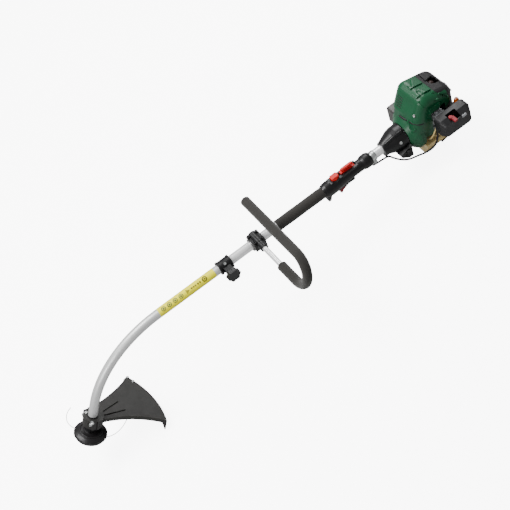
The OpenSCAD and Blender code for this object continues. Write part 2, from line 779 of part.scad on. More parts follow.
module crankcase() {
    color("silver") difference() {
        union() {
            translate([block_x0, -30, -34]) cube([block_x1 - block_x0, 60, 34 + cyl_z0]);
            along(case_x1 + 2) cylinder(r = 16, h = block_x0 - case_x1);
            for (y = [-30, 30]) translate([cyl_x, y, -20]) cube([30, 8, 12], center = true);
        }
        along(case_x1) cylinder(r = crank_r + run_fit, h = 200);
        along(cyl_x - 17) cylinder(r = 24, h = 34);
        translate([cyl_x, 0, 0]) cylinder(r = piston_r + 0.5, h = 60);
    }
}

fin_pitch = 8;
port_z = cyl_z0 + 14;
module cylinder_fins() {
    for (i = [0:floor((cyl_z1 - cyl_z0 - 12) / fin_pitch)])
        translate([cyl_x, 0, cyl_z0 + 9 + i * fin_pitch]) cylinder(r = fin_r - i * 0.8, h = 2.2);
}

module cylinder_body() {
    color("silver") difference() {
        union() {
            translate([cyl_x, 0, cyl_z0 + 0.1]) cylinder(r = 24, h = cyl_z1 - cyl_z0);
            translate([cyl_x, 0, cyl_z0 + 0.1]) rounded_block([56, 56, 5], 6);
            cylinder_fins();
            // The inlet and exhaust flanges
            translate([cyl_x + 4, -37, carb_z + 0.5]) cube([30, 34, 23.4], center = true);
            translate([cyl_x, 34, port_z]) cube([34, 22, 22], center = true);
        }
        translate([cyl_x, 0, 0]) cylinder(r = piston_r + 0.05, h = cyl_z1 - 10);
        translate([cyl_x + 4, 0, carb_z]) rotate([90, 0, 0]) cylinder(r = 7, h = 80);
        translate([cyl_x, 0, port_z]) rotate([-90, 0, 0]) cylinder(r = 7, h = 80);
        at_plug() {
            translate([0, 0, -30]) cylinder(r = 5.05, h = 40);
            translate([0, 0, 0.85]) cylinder(r = 9.4, h = 60);
        }
    }
}

// The plug leans back out of the cylinder's head.
plug_lean = 56;
module at_plug() {
    translate([cyl_x + 13, -2, cyl_z1 - 8]) rotate([0, plug_lean, 0]) children();
}

module spark_plug() {
    color("white") at_plug() {
        translate([0, 0, -6]) cylinder(r = 5, h = 7);
        translate([0, 0, 0.9]) cylinder(r = 9, h = 2);
        translate([0, 0, 2.8]) cylinder(r = 8.4, h = 7, $fn = 6);
        translate([0, 0, 9.7]) cylinder(r = 4.5, h = 14);
        translate([0, 0, 23.5]) cylinder(r = 2, h = 5);
    }
}

lead_route = [[cyl_x + 36, 2, cyl_z1 + 9], [cyl_x + 35, 8, cyl_z1 + 11], [cyl_x + 29, 15, cyl_z1 + 13],
    [cyl_x + 18, 19, cyl_z1 + 15], [cyl_x + 6, 20, cyl_z1 + 15], [cyl_x - 8, 18, cyl_z1 + 12], [cyl_x - 22, 15, cyl_z1 + 5],
    [cyl_x - 32, 10, cyl_z1 - 3], [cyl_x - 40, 5, cyl_z1 - 10], [cyl_x - 46, 1, cyl_z1 - 19],
    [fan_x + 20, 0, fan_r + 21], [fan_x + 18, 0, fan_r + 16.8]];
module spark_plug_boot() {
    color("#141416") {
        at_plug() difference() {
            union() {
                translate([0, 0, 11]) cylinder(r = 8.5, h = 18);
                translate([0, 0, 29]) sphere(r = 8.5);
                translate([0, 0, 27]) rotate([-90, 0, 0]) cylinder(r = 4.4, h = 8);
            }
            translate([0, 0, 10]) cylinder(r = 4.6, h = 18.7);
        }
        sweep(lead_route, 3, 10);
    }
}

blades = 16;
module flywheel() {
    color("silver") along(fan_x) difference() {
        union() {
            cylinder(r = fan_r - 9, h = fan_l - 10);
            translate([0, 0, fan_l - 13]) cylinder(r = fan_r, h = 4);
            cylinder(r = 13, h = fan_l);
            for (i = [0:blades - 1]) rotate([0, 0, 360 * i / blades])
                translate([fan_r - 14, -1.2, 2]) cube([13.5, 2.4, fan_l - 11]);
        }
        translate([0, 0, -1]) cylinder(r = crank_r + 0.02, h = 60);
        for (i = [0:5]) rotate([0, 0, 60 * i]) translate([24, 0, -1]) cylinder(r = 5.5, h = fan_l - 14);
    }
}

module ignition_coil() {
    color("#222222") translate([fan_x + 13, 0, fan_r + 1.2]) {
        for (y = [-16, 10]) translate([0, y, 0]) cube([9, 6, 10]);
        translate([-1, -16, 9]) cube([11, 32, 5]);
        translate([-2, -8, 2]) cube([13, 16, 13]);
    }
}

// The body of the cowl and the rear cover, smaller all round by inset
module dome(inset) {
    r1 = 25 - inset;
    r2 = 22 - inset;
    y1 = cowl_w / 2 - 25;
    y2 = cowl_w / 2 - 24;
    hull() for (s = [-1, 1]) {
        translate([case_x0 + 62, s * y1, cowl_h - 25]) sphere(r = r1, $fn = blend_fn);
        translate([rear_x1 - 25, s * y1, cowl_h - 40]) sphere(r = r1, $fn = blend_fn);
        translate([case_x0 + 41, s * y1, cowl_h - 66]) sphere(r = r1, $fn = blend_fn);
        translate([rear_x1 - 25, s * y1, cowl_h - 84]) sphere(r = r1, $fn = blend_fn);
        translate([case_x0 + 25, s * y2, 6]) sphere(r = r2, $fn = blend_fn);
        translate([rear_x1 - 24, s * y2, -14]) sphere(r = r2, $fn = blend_fn);
    }
}

// Everything behind the seam between the cowl and the rear cover; the seam leans forward at the top
module behind_seam(shift) {
    translate([seam_x + shift, 150, 0]) rotate([90, 0, 0]) linear_extrude(300)
        polygon([[0, -200], [0, 50], [25, 70], [-6, 108], [-29, 137], [200, 137], [200, -200]]);
}

// The scroll round the fan: a cone in front and a drum behind it
module fan_case(inset) {
    along(case_x0) rotate_extrude() polygon([[0, inset], [38 - inset, inset], [46 - inset, 8 + inset / 2],
        [case_r - 3 - inset, 18 + inset / 2], [case_r - inset, 24], [case_r - inset, case_x1 - case_x0 + inset],
        [0, case_x1 - case_x0 + inset]]);
}

module engine_cowl() {
    color("#0f5132") difference() {
        union() {
            fan_case(0);
            dome(0);
        }
        fan_case(cover_wall);
        dome(cover_wall);
        along(case_x0 - 5) cylinder(r = 35.5, h = 20);
        behind_seam(0);
        // Cut away below, and round the muffler and the carburettor
        translate([case_x1, -150, -200]) cube([200, 300, 186]);
        translate([case_x1 - 4, -75, -200]) cube([200, 150, 164]);
        translate([shield_x - 2, 36, -60]) cube([shield_l + 4, 60, 60 + port_z + 15]);
        carb_opening();
        // Cooling slots along the front of the right shoulder
        for (i = [0:4]) translate([case_x0 + 16, 40, 66 + i * 8]) cube([36 - i * 2, 30, 3.6]);
        plug_well();
    }
}

// The window in the left side that the carburettor stands in
module carb_opening() {
    translate([cyl_x - 13, -90, -20]) cube([47, 50, 92]);
}

// The well round the plug's boot
module plug_well() {
    at_plug() translate([0, 0, 4]) cylinder(r = 13, h = 60);
}

rear_l = rear_x1 - rear_x0 - 3;
module rear_cover() {
    color("#1c1c1e") difference() {
        union() {
            dome(0);
            along(rear_x0) cylinder(r = 50, h = rear_l);
        }
        dome(cover_wall);
        along(rear_x0 - 1) cylinder(r = 50 - cover_wall, h = rear_l - 1);
        difference() {
            translate([case_x0 - 50, -150, -200]) cube([400, 300, 500]);
            behind_seam(rest_gap);
        }
        translate([rear_x0 - 10, -150, tank_z + rest_gap - 200]) cube([200, 300, 200]);
        for (a = [-60:20:60]) rotate([a, 0, 0]) translate([rear_x1 - 20, -2, 20]) cube([40, 4, 22]);
        carb_opening();
        plug_well();
        // The eye that the starter cord leaves through
        translate([pulley_x + pulley_l / 2, 20, pulley_r]) rotate([-90, 0, 0]) cylinder(r = 4, h = 80);
    }
}

module starter_pulley() {
    color("dimgray") along(pulley_x) difference() {
        rotate_extrude() polygon([[4, 0], [pulley_r + 3, 0], [pulley_r + 3, 2], [pulley_r - 4, 4],
            [pulley_r - 4, pulley_l - 4], [pulley_r + 3, pulley_l - 2], [pulley_r + 3, pulley_l], [4, pulley_l]]);
        for (a = [0:60:300]) rotate([0, 0, a]) translate([13, 0, -1]) cylinder(r = 3, h = 20);
    }
}

grip_y = cowl_w / 2 + 4;
module starter_grip() {
    color("#1c1c1e") translate([pulley_x + pulley_l / 2, grip_y, pulley_r]) {
        rotate([-90, 0, 0]) cylinder(r1 = 6, r2 = 8, h = 14);
        hull() for (s = [-1, 1]) translate([s * 18, 19, 0]) sphere(r = 7, $fn = blend_fn);
    }
}

muffler_x = cyl_x - 48;
module muffler() {
    color("dimgray") difference() {
        union() {
            translate([muffler_x, 45.3, -12]) rounded_side([64, 22, 42], 8);
            translate([cyl_x - 17, 45.3, 20]) rounded_side([34, 16, port_z - 8], 5);
        }
        translate([cyl_x, 44, port_z]) rotate([-90, 0, 0]) cylinder(r = 7, h = 8);
        translate([muffler_x - 1, 57, 2]) rotate([0, 90, 0]) cylinder(r = 4, h = 12);
    }
}

// A block from its corner, with edges along Y rounded
module rounded_side(size, r) {
    translate([size[0] / 2, size[1], size[2] / 2]) rotate([90, 0, 0])
        linear_extrude(size[1]) rounded_rect(size[0], size[2], r);
}

// The black heat shield over the muffler, with louvres
shield_x = case_x0 + 15;
shield_l = cyl_x + 20 - shield_x;
shield_h = 54;
module muffler_shield() {
    color("#1c1c1e") translate([shield_x, 36, -18]) difference() {
        rounded_side([shield_l, 38, shield_h], 4);
        translate([cover_wall, -1, cover_wall])
            rounded_side([shield_l - 2 * cover_wall, 39 - cover_wall, shield_h - 2 * cover_wall], 2);
        for (i = [0:4]) translate([12 + i * 12, 30, 10]) cube([5, 20, 30]);
        // The muffler's neck comes up through the top
        translate([cyl_x - shield_x - 18, 8, shield_h - 10]) cube([36, 18.5, 20]);
        translate([-10, -10, -10]) cube([200, 20, 200]);
    }
}

module carburettor() {
    color("silver") difference() {
        union() {
            translate([cyl_x - 10, -73.5, carb_z - 15]) cube([30, 19.2, 30]);
            translate([cyl_x + 5, -58, carb_z + 15]) cylinder(r = 7, h = 8);
            translate([cyl_x + 20, -64, carb_z]) rotate([0, 90, 0]) cylinder(r = 5, h = 6);
            translate([cyl_x + 5, -64, carb_z - 20]) cylinder(r = 9, h = 5.5);
        }
        translate([cyl_x + 4, -80, carb_z]) rotate([-90, 0, 0]) cylinder(r = 7, h = 60);
    }
}

primer_x = filter_x + 36;
primer_y = filter_y + 10.5;
primer_z = filter_z + 13.4;
primer_r = 7.5;
primer_travel = 4;
module filter_base() {
    color("#1c1c1e") difference() {
        union() {
            translate([filter_x - filter_l / 2 + 13, filter_y, filter_z - filter_h / 2 + 3])
                rounded_side([filter_l - 16, 2.2, filter_h - 6], 9);
            // The socket that holds the primer bulb
            translate([primer_x - 11, filter_y + 1, primer_z - primer_travel - 4.4]) cube([22, 17.8, 8]);
        }
        translate([cyl_x + 4, filter_y - 10, carb_z]) rotate([-90, 0, 0]) cylinder(r = 7, h = 60);
        translate([primer_x, primer_y, primer_z - primer_travel - 0.4]) cylinder(r = primer_r + 0.3, h = 20);
        translate([primer_x, primer_y, primer_z - 20]) cylinder(r = 2.3, h = 20);
    }
}

module filter_foam() {
    color("#3a3f3a") translate([filter_x - filter_l / 2 + 8, filter_y - 12.2, filter_z - filter_h / 2 + 8])
        rounded_side([filter_l - 16, 12, filter_h - 24.5], 6);
}

// The cover's outline lies in a plane along the shaft; its depth runs to the left.
module filter_shell(inset, depth) {
    translate([filter_x, filter_y + 2.2, filter_z]) rotate([90, 0, 0]) hull() {
        linear_extrude(depth * 0.6) rounded_rect(filter_l - 2 * inset, filter_h - 2 * inset, 12 - inset);
        translate([-2, 0, 0]) linear_extrude(depth)
            rounded_rect(filter_l - 14 - 2 * inset, filter_h - 16 - 2 * inset, 10 - inset);
    }
}

choke_x = filter_x - 14;
choke_y = filter_y - 26;
module air_filter_cover() {
    color("#1c1c1e") difference() {
        filter_shell(0, filter_w);
        difference() {
            filter_shell(cover_wall, filter_w - cover_wall);
            translate([filter_x - 60, filter_y - 60, filter_z + filter_h / 2 - 16]) cube([56, 60, 40]);
        }
        translate([filter_x - 60, filter_y - 0.15, 0]) cube([120, 10, 120]);
        // The pocket for the choke lever
        translate([choke_x - 8, choke_y - 30, filter_z + filter_h / 2 - 11]) cube([31, 43, 30]);
    }
}

// A paddle that turns on a stub in the pocket of the filter cover
module choke_lever() {
    color("#b01e3c") translate([choke_x, choke_y, filter_z + filter_h / 2 - 10.7]) {
        cylinder(r = 5, h = 9);
        translate([-1, -19, 2]) cube([9, 18, 6]);
    }
}

module primer_bulb() {
    color("#b5652b") translate([primer_x, primer_y, primer_z])
        rotate_extrude() polygon([[0, 0], [primer_r, 0], [primer_r, 6], [primer_r - 0.8, 11], [5, 14.5], [2, 16], [0, 16.2]]);
}

hose_a = [[cyl_x - 30, -34, tank_z + 0.5], [cyl_x - 31, -38, tank_z + 12], [cyl_x - 31, -50, tank_z + 20],
    [cyl_x - 29, -60, tank_z + 30], [cyl_x - 24, -65, tank_z + 42], [cyl_x - 17, -67, tank_z + 56],
    [cyl_x - 12, -67, tank_z + 63], [cyl_x - 7.6, -67, tank_z + 70.6]];
hose_b = [[cyl_x - 14, -34, tank_z + 0.5], [cyl_x - 14, -40, tank_z + 10], [cyl_x - 12, -50, tank_z + 17],
    [cyl_x - 6, -58, tank_z + 22], [cyl_x + 6, -62, tank_z + 30], [cyl_x + 22, -62, tank_z + 42],
    [cyl_x + 40, -63, tank_z + 60], [cyl_x + 51, -64.5, tank_z + 74], [primer_x, primer_y, tank_z + 86],
    [primer_x, primer_y, primer_z - primer_travel - 1]];
module fuel_hoses() {
    color("#e0cfa0") {
        sweep(hose_a, 2.2, 8, [1, 0, 0]);
        sweep(hose_b, 2.2, 8, [1, 0, 0]);
    }
}

// The tank's section: the lower left edge is cut back
module tank_section(inset) {
    w = tank_w / 2 - inset;
    top = tank_z - inset;
    low = tank_z - tank_h + inset;
    polygon([[-w, top], [-w, top - 14], [-w + 20, low], [w - 14, low], [w, low + 12], [w, top]]);
}

module fuel_tank() {
    color("#e6dcbc") difference() {
        union() {
            translate([tank_x - tank_l / 2, 0, 0]) rotate([90, 0, 90]) linear_extrude(tank_l) tank_section(0);
            translate([tank_x + 20, tank_w / 2 - 2, tank_z - 20]) rotate([-90, 0, 0]) cylinder(r = 15, h = 6);
        }
        translate([tank_x - tank_l / 2 + 3, 0, 0]) rotate([90, 0, 90]) linear_extrude(tank_l - 6) tank_section(3);
        translate([tank_x + 20, tank_w / 2 - 10, tank_z - 20]) rotate([-90, 0, 0]) cylinder(r = 11, h = 20);
    }
}

module fuel_cap() {
    color("#1c1c1e") translate([tank_x + 20, tank_w / 2 + 4 + rest_gap, tank_z - 20]) rotate([-90, 0, 0]) {
        cylinder(r = 18, h = 11);
        for (a = [0:30:330]) rotate([0, 0, a]) translate([17.4, -1.5, 0]) cube([2, 3, 10]);
        translate([0, 0, -9]) cylinder(r = 10.9, h = 10);
    }
}

// The foot under the tank's rear, with a strap up the back; its sole lies on the floor
module stand_form() {
    x0 = tank_x + 14;
    x1 = tank_x + tank_l / 2 + 6;
    low = tank_z - tank_h - rest_gap;
    translate([x0, -26, low - 30]) cube([x1 - x0, 64, 30]);
    translate([x1 - 5.4, -26, low - 1]) cube([5.4, 64, tank_h - 4]);
}

module engine_stand() {
    color("#1c1c1e") difference() {
        lay() stand_form();
        translate([-2000, -2000, -400]) cube([4000, 4000, 400]);
    }
}

// ---- the machine ----

lay() lower_tube();
lay() drive_cable();
lay() drive_liner();
lay() safety_label();
lay() drive_end_housing();
lay() drive_end_bearings();
lay() output_arbor();
lay() guard();
lay() guard_clamp();
lay() guard_bolts();
lay() line_cutter();
lay() head_housing();
lay() line_spool();
lay() bump_knob();
lay() head_spring();
lay() line_ends();
lay() upper_tube();
lay() drive_rod();
lay() coupling_clamp();
lay() coupling_knob();
lay() handle_clamp_base();
lay() handle_clamp_cap();
lay() handle_clamp_bolts();
lay() loop_handle_tube();
lay() loop_handle_foam();
lay() shaft_foam_grip();
lay() throttle_housing_left();
lay() throttle_housing_right();
lay() throttle_trigger();
lay() lockout_lever();
lay() stop_button();
lay() throttle_housing_screws();
lay() throttle_cable();
lay() clutch_housing();
lay() clutch_drum();
lay() clutch_shoes();
lay() crankcase();
lay() crankshaft();
lay() piston_and_rod();
lay() cylinder_body();  // cylinder
lay() spark_plug();
lay() spark_plug_boot();
lay() flywheel();
lay() ignition_coil();
lay() muffler();
lay() muffler_shield();
lay() carburettor();
lay() filter_base();
lay() filter_foam();
lay() air_filter_cover();
lay() choke_lever();
lay() primer_bulb();
lay() fuel_hoses();
lay() fuel_tank();
lay() fuel_cap();
lay() engine_cowl();
lay() rear_cover();
lay() starter_pulley();
lay() starter_grip();
engine_stand();
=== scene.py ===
"""A petrol brush cutter with a split, curved shaft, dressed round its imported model.

The shaft frame has x along the straight shaft towards the engine, y to the operator's right and
z up, in millimetres from the start of the bend. The head frame has z down the head's axis.
"""
import json
from math import cos, pi, radians, sin

import bmesh
import bpy
import numpy as np
from mathutils import Euler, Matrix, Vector


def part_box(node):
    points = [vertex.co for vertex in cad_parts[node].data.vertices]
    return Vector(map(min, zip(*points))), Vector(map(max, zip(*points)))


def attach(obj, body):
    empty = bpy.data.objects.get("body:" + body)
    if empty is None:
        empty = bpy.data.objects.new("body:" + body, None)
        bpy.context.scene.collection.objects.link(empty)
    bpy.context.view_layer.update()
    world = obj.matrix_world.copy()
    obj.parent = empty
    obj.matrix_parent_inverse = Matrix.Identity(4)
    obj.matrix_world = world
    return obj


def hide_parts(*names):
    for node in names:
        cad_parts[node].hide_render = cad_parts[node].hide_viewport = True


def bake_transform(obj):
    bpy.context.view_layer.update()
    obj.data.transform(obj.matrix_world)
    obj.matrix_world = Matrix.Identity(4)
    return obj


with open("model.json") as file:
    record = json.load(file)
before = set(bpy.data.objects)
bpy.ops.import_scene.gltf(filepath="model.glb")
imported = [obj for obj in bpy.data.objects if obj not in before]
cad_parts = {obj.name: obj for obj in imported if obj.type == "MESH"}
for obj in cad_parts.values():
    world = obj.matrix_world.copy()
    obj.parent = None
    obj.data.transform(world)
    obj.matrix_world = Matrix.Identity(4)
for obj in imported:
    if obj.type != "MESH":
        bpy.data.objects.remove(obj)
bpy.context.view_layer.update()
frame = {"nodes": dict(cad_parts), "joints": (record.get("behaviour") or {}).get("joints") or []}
nodes = frame["nodes"]
joints = {joint["name"]: joint for joint in frame["joints"]}

# ---- frames, from the joints' axes ----

DRUM_STATION = 760   # where the drive's joint lies along the shaft, mm
along_shaft = -np.array(joints["drive_spin"]["axis"])
to_right = np.array([0.0, 1.0, 0.0])
above_shaft = np.cross(along_shaft, to_right)
SHAFT_AXES = np.array([along_shaft, to_right, above_shaft])
shaft_start = np.array(joints["drive_spin"]["pos_m"]) - along_shaft * DRUM_STATION / 1000


def on_shaft(points):
    """Shaft-frame points in millimetres, as row-frame points in metres."""
    return shaft_start + np.asarray(points, float) @ SHAFT_AXES / 1000


HEAD_STATION = 52    # where the head's joint lies down its axis, mm
down_head = np.array(joints["head_spin"]["axis"])
HEAD_AXES = np.array([np.cross(to_right, down_head), to_right, down_head])
head_start = np.array(joints["head_spin"]["pos_m"]) - down_head * HEAD_STATION / 1000


def on_head(points):
    """Head-frame points in millimetres, as row-frame points in metres."""
    return head_start + np.asarray(points, float) @ HEAD_AXES / 1000


# ---- camera, floor and light ----

def aim_camera():
    """A long lens, from the operator's left, above and in front of the machine."""
    camera = bpy.data.objects.new("camera", bpy.data.cameras.new("camera"))
    bpy.context.collection.objects.link(camera)
    camera.location = (-0.0096, -1.7803, 2.6384)
    camera.rotation_euler = Euler([radians(a) for a in (28.749, 24.214, -37.263)])
    camera.data.lens = 84.77
    bpy.context.scene.camera = camera


aim_camera()


def hex_colour(code):
    """An sRGB hex code as linear RGBA."""
    parts = [int(code[i:i + 2], 16) / 255 for i in (0, 2, 4)]
    return [c / 12.92 if c <= 0.04045 else ((c + 0.055) / 1.055) ** 2.4 for c in parts] + [1]


def add(tree, kind, inputs=None, **settings):
    """Adds a node: a socket among the inputs is linked, and any other value is set."""
    node = tree.nodes.new("ShaderNode" + kind)
    for key, value in settings.items():
        setattr(node, key, value)
    for key, value in (inputs or {}).items():
        if isinstance(value, bpy.types.NodeSocket):
            tree.links.new(value, node.inputs[key])
        else:
            node.inputs[key].default_value = value
    return node


def shader(name, **inputs):
    """A new material's node tree and its Principled shader."""
    material = bpy.data.materials.new(name)
    material.use_nodes = True
    tree = material.node_tree
    surface = tree.nodes["Principled BSDF"]
    for key, value in inputs.items():
        surface.inputs[key.replace("_", " ")].default_value = value
    return material, tree, surface


def object_point(tree, stretch=(1, 1, 1), turn=(0, 0, 0)):
    """Object coordinates, turned and then stretched, for a pattern."""
    place = add(tree, "TexCoord").outputs["Object"]
    turned = add(tree, "Mapping", {"Vector": place, "Rotation": turn}).outputs["Vector"]
    return add(tree, "Mapping", {"Vector": turned, "Scale": stretch}).outputs["Vector"]


def blobs(tree, size_mm, detail=2.0, stretch=(1, 1, 1), turn=(0, 0, 0)):
    """Noise with blobs about size_mm across, over a piece's Object coordinates."""
    settings = {"Vector": object_point(tree, stretch, turn), "Scale": 1000 / size_mm, "Detail": detail}
    return add(tree, "TexNoise", settings).outputs["Fac"]


def tint(tree, surface, pattern, light, dark):
    """Colours a surface from light to dark as a pattern goes from 0 to 1."""
    tones = {0: pattern, 6: hex_colour(light), 7: hex_colour(dark)}
    mix = add(tree, "Mix", tones, data_type="RGBA")
    tree.links.new(mix.outputs[2], surface.inputs["Base Color"])


def polish(tree, surface, pattern, low, high):
    """Roughness from low to high as a pattern goes from 0.3 to 0.7, where most noise lies."""
    limits = {"Value": pattern, "From Min": 0.3, "From Max": 0.7, "To Min": low, "To Max": high}
    tree.links.new(add(tree, "MapRange", limits).outputs["Result"], surface.inputs["Roughness"])


def roughen(tree, surface, height, depth_mm):
    """A bump of the given depth from a height between 0 and 1."""
    bump = add(tree, "Bump", {"Height": height, "Strength": 1.0, "Distance": depth_mm / 1000})
    tree.links.new(bump.outputs["Normal"], surface.inputs["Normal"])


FLOOR_GLOW = 7.0     # emission that the camera alone sees
FLOOR_HALF = 30      # half the floor's width, m


def lay_floor():
    """White card that glows to the camera only, so that it stays white in a dim, soft light."""
    material, tree, surface = shader("matt_studio_card", Roughness=0.9, Specular_IOR_Level=0.1)
    seen = add(tree, "LightPath").outputs["Is Camera Ray"]
    tint(tree, surface, seen, "a8a8a8", "fcfcfc")
    surface.inputs["Emission Color"].default_value = (1, 1, 1, 1)
    glow = add(tree, "Math", {0: seen, 1: FLOOR_GLOW}, operation="MULTIPLY")
    tree.links.new(glow.outputs["Value"], surface.inputs["Emission Strength"])
    corners = [(x * FLOOR_HALF, y * FLOOR_HALF, 0) for x, y in ((-1, -1), (1, -1), (1, 1), (-1, 1))]
    mesh = bpy.data.meshes.new("studio_floor")
    mesh.from_pydata(corners, [], [(0, 1, 2, 3)])
    floor = bpy.data.objects.new("studio_floor", mesh)
    bpy.context.collection.objects.link(floor)
    mesh.materials.append(material)


def hang_light(name, place, size, watts):
    """A square soft box at place, facing the middle of the machine."""
    lamp = bpy.data.lights.new(name, "AREA")
    lamp.energy, lamp.size = watts, size
    light = bpy.data.objects.new(name, lamp)
    bpy.context.collection.objects.link(light)
    light.location = place
    light.rotation_euler = (-Vector(place)).to_track_quat("-Z", "Y").to_euler()


def light_studio():
    """A dim white room with a soft box overhead, one at the left and one behind."""
    world = bpy.data.worlds.new("white_room")
    world.use_nodes = True
    world.node_tree.nodes["Background"].inputs["Color"].default_value = (1, 1, 1, 1)
    world.node_tree.nodes["Background"].inputs["Strength"].default_value = 0.42
    bpy.context.scene.world = world
    hang_light("overhead_box", (-0.5, 0.9, 3.2), 1.6, 150)
    hang_light("left_box", (-2.4, -0.8, 1.8), 0.9, 45)
    hang_light("back_box", (2.0, 1.7, 2.2), 1.5, 70)


lay_floor()
light_studio()

# ---- finishes ----

SHAFT_TURN = (0, np.arctan2(along_shaft[2], along_shaft[0]), 0)


def drawn_aluminium(name, light, dark, rough, bare):
    """Drawn aluminium tube: bright metal under a milky anodised skin, with faint draw lines. The
    lines are drawn coarser than real ones so that they show."""
    material, tree, surface = shader(name, Metallic=bare)
    lines = blobs(tree, 1.2, 3, (0.02, 1, 1), SHAFT_TURN)
    tint(tree, surface, blobs(tree, 60), light, dark)
    polish(tree, surface, lines, rough * 0.8, rough * 1.3)
    roughen(tree, surface, lines, 0.01)
    return material


def zinc_steel():
    """Zinc-plated steel: bright, with a fine cloudy crystal pattern."""
    material, tree, surface = shader("zinc_plated_steel", Metallic=1.0)
    cloud = blobs(tree, 3, 4)
    tint(tree, surface, cloud, "d6d8d6", "b9bcbc")
    polish(tree, surface, cloud, 0.22, 0.4)
    return material


def cast_aluminium():
    """Die-cast aluminium: dull grey metal with a sandy skin of grains under a millimetre."""
    material, tree, surface = shader("die_cast_aluminium", Metallic=0.9)
    grains = blobs(tree, 0.8, 3)
    tint(tree, surface, blobs(tree, 12), "a9abad", "8d8f92")
    polish(tree, surface, grains, 0.42, 0.6)
    roughen(tree, surface, grains, 0.06)
    return material


def moulded(name, light, dark, rough, grain_mm, depth_mm):
    """Injection-moulded plastic: an even colour, slightly cloudy, over a spark-eroded grain."""
    material, tree, surface = shader(name, IOR=1.5, Specular_IOR_Level=0.35)
    cloud = blobs(tree, 25, 3)
    tint(tree, surface, cloud, light, dark)
    polish(tree, surface, cloud, rough * 0.85, rough * 1.15)
    roughen(tree, surface, blobs(tree, grain_mm), depth_mm)
    return material


def closed_cell_foam():
    """Nitrile foam sleeve: matt, with skin pores about a millimetre across."""
    material, tree, surface = shader("nitrile_foam", IOR=1.45, Roughness=0.88, Sheen_Weight=0.25,
                                     Sheen_Roughness=0.5)
    pores = add(tree, "TexVoronoi", {"Vector": object_point(tree), "Scale": 900.0}).outputs["Distance"]
    tint(tree, surface, blobs(tree, 14, 4), "221f1b", "171512")
    roughen(tree, surface, pores, 0.35)
    return material


def filter_sponge():
    """Oiled open-cell sponge: olive black, with cells nearly two millimetres wide."""
    material, tree, surface = shader("oiled_sponge", IOR=1.45, Roughness=0.8)
    cells = add(tree, "TexVoronoi", {"Vector": object_point(tree), "Scale": 600.0}).outputs["Distance"]
    # The cells' middles, which the bump sinks, are painted darker than their walls: painted shade in the
    # pores.
    tint(tree, surface, cells, "23221c", "454336")
    roughen(tree, surface, cells, 0.6)
    return material


def clear_plastic(name, light, dark, through, rough):
    """Translucent nylon, polyethylene or PVC: some light passes in and the rest is scattered."""
    material, tree, surface = shader(name, IOR=1.51, Transmission_Weight=through)
    cloud = blobs(tree, 18)
    tint(tree, surface, cloud, light, dark)
    polish(tree, surface, cloud, rough * 0.8, rough * 1.2)
    return material


def baked_enamel():
    """Heat-proof enamel on pressed steel: satin black with a faint orange peel."""
    material, tree, surface = shader("heatproof_enamel", Coat_Weight=0.2, Coat_Roughness=0.3)
    cloud = blobs(tree, 20, 3)
    tint(tree, surface, cloud, "1b1b1c", "28261f")
    polish(tree, surface, cloud, 0.4, 0.6)
    roughen(tree, surface, blobs(tree, 1.6), 0.04)
    return material


bright_tube = drawn_aluminium("bright_drawn_aluminium", "fafafa", "eeeff0", 0.24, 0.45)
satin_tube = drawn_aluminium("satin_drawn_aluminium", "d2d3d2", "c2c3c3", 0.42, 0.45)
zinc = zinc_steel()
alloy = cast_aluminium()
black_nylon = moulded("glass_filled_nylon", "101012", "0a0a0b", 0.36, 0.6, 0.03)
black_cover = moulded("textured_black_abs", "171618", "0f0f11", 0.46, 0.9, 0.07)
guard_plastic = moulded("black_polypropylene", "22211f", "1c1b1a", 0.5, 0.8, 0.05)
head_plastic = moulded("tough_head_nylon", "151315", "100e10", 0.4, 0.6, 0.04)
green_abs = moulded("gloss_green_abs", "0a4f2f", "073f25", 0.36, 1.4, 0.004)
red_abs = moulded("bright_red_abs", "d4140e", "c0100c", 0.42, 0.7, 0.02)
dark_red_abs = moulded("crimson_abs", "8a0a1c", "760816", 0.5, 0.7, 0.02)
rubber = moulded("black_rubber", "121213", "0c0c0d", 0.6, 0.5, 0.03)
boot_rubber = moulded("brown_silicone_rubber", "2a1512", "1e100e", 0.45, 0.5, 0.02)
black_oxide = moulded("black_oxide_steel", "141415", "0e0e0f", 0.3, 1.0, 0.004)
# The nylon's white is painted a light grey: painted shade on the line ends and the liner.
nylon_line = clear_plastic("drawn_nylon_line", "d2d2ce", "c4c4c0", 0.1, 0.3)
tank_plastic = clear_plastic("blown_polyethylene", "e6cf92", "d8bd7a", 0.25, 0.35)
yellow_vinyl = moulded("printed_yellow_vinyl", "f4ec0a", "e9e004", 0.4, 1.0, 0.01)
teal_ink = moulded("teal_printing_ink", "0e4a4c", "0a3b3d", 0.5, 1.0, 0.003)
olive_ink = moulded("olive_printing_ink", "6e6204", "5e5403", 0.5, 1.0, 0.003)
brown_ink = moulded("brown_printing_ink", "3a2406", "2e1c04", 0.5, 1.0, 0.003)
black_ink = moulded("black_printing_ink", "171410", "100e0b", 0.5, 1.0, 0.003)
amber_pvc = clear_plastic("amber_pvc", "c8641a", "9c480f", 0.5, 0.12)
foam = closed_cell_foam()
braid = moulded("braided_nylon_cord", "c9c7bf", "8c8a84", 0.7, 0.9, 0.12)
sponge = filter_sponge()
enamel = baked_enamel()

